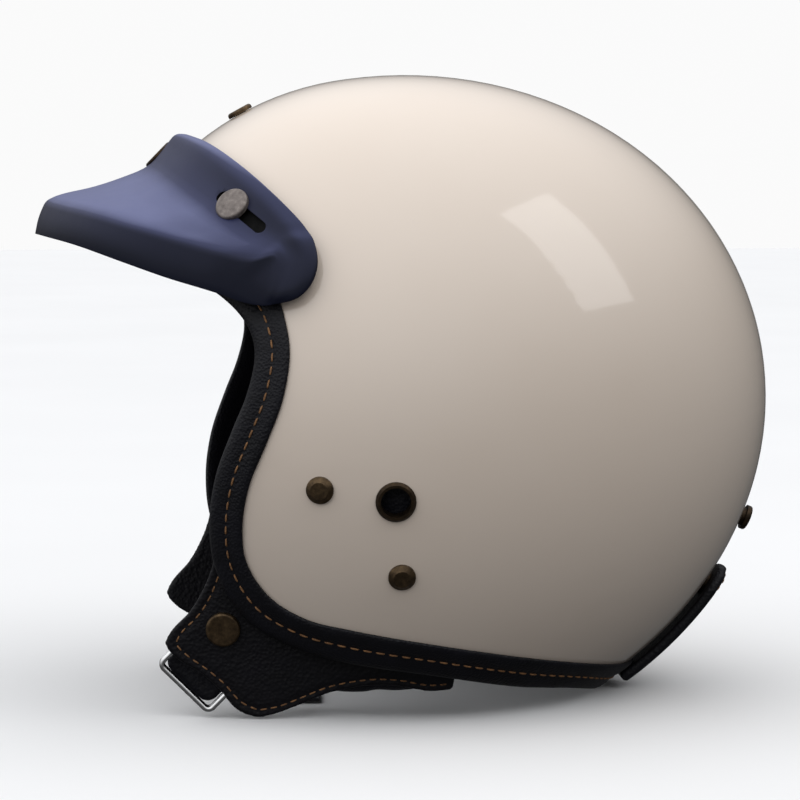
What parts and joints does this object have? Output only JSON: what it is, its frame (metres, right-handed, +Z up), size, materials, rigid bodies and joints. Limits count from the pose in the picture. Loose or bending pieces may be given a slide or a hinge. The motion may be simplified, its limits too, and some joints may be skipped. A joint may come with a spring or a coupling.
{
  "type": "open face motorcycle helmet",
  "caption": "Open face motorcycle helmet with a glossy cream shell, dark leather edge trim and cheek flaps, a tilting press-stud peak, ring chin strap and a rear goggle tab",
  "frame": {"origin": "on the surface the helmet stands on, midway between the tip of the peak and the back of the shell, on the centre plane", "axes": "+Z up, -Y the way the wearer faces, +X the wearer's left"},
  "size_m": [0.24, 0.3188, 0.2684],
  "materials": {
    "shell_gelcoat": "smooth high-gloss cream gelcoat",
    "black_leather": "fine-grained navy-black leather with tan stitching",
    "foam": "expanded foam beads, matte",
    "lining": "soft quilted cloth",
    "bronze": "antiqued bronze, polished on the domes",
    "webbing": "woven nylon webbing",
    "ring_steel": "bright chrome",
    "peak_plastic": "smooth navy plastic, satin gloss"
  },
  "bodies": {
    "helmet": {"outer_shell": "shell_gelcoat", "edge_trim": "black_leather", "impact_liner": "foam", "comfort_liner": "lining", "neck_roll": "black_leather", "cheek_pad_left": "black_leather", "cheek_pad_right": "black_leather", "cheek_flap_left": "black_leather", "cheek_flap_right": "black_leather", "flap_snap_left": "bronze", "flap_snap_right": "bronze", "ear_eyelet_left": "bronze", "ear_eyelet_right": "bronze", "strap_rivets_left": "bronze", "strap_rivets_right": "bronze", "rivet_washers": "bronze", "strap_yoke_left": "webbing", "strap_yoke_right": "webbing", "chin_strap_left": "webbing", "ring_guard": "black_leather", "chin_strap_right": "webbing", "strap_tip_snap": "bronze", "peak_studs": "bronze", "peak_cap_left": "bronze", "peak_cap_centre": "bronze", "peak_cap_right": "bronze", "crown_stud": "bronze", "rear_stud": "bronze"},
    "peak": {"peak": "peak_plastic"},
    "goggle_tab": {"goggle_tab": "black_leather", "tab_socket": "bronze"},
    "chin_rings": {"d_ring_outer": "ring_steel", "d_ring_inner": "ring_steel"}
  },
  "joints": [
    {"name": "peak_tilt", "type": "hinge", "parent": "helmet", "child": "peak", "pos_m": [0, -0.0723, 0.2102], "axis": [1, 0, 0], "range_deg": [-3, 3]},
    {"name": "goggle_tab_swing", "type": "hinge", "parent": "helmet", "child": "goggle_tab", "pos_m": [0, 0.0882, 0.0025], "axis": [1, 0, 0], "range_deg": [-20, 0]},
    {"name": "chin_rings_swing", "type": "hinge", "parent": "helmet", "child": "chin_rings", "pos_m": [0.066, -0.08283, 0.02617], "axis": [0, 0.7071, -0.7071], "range_deg": [-5, 5]}
  ]
}
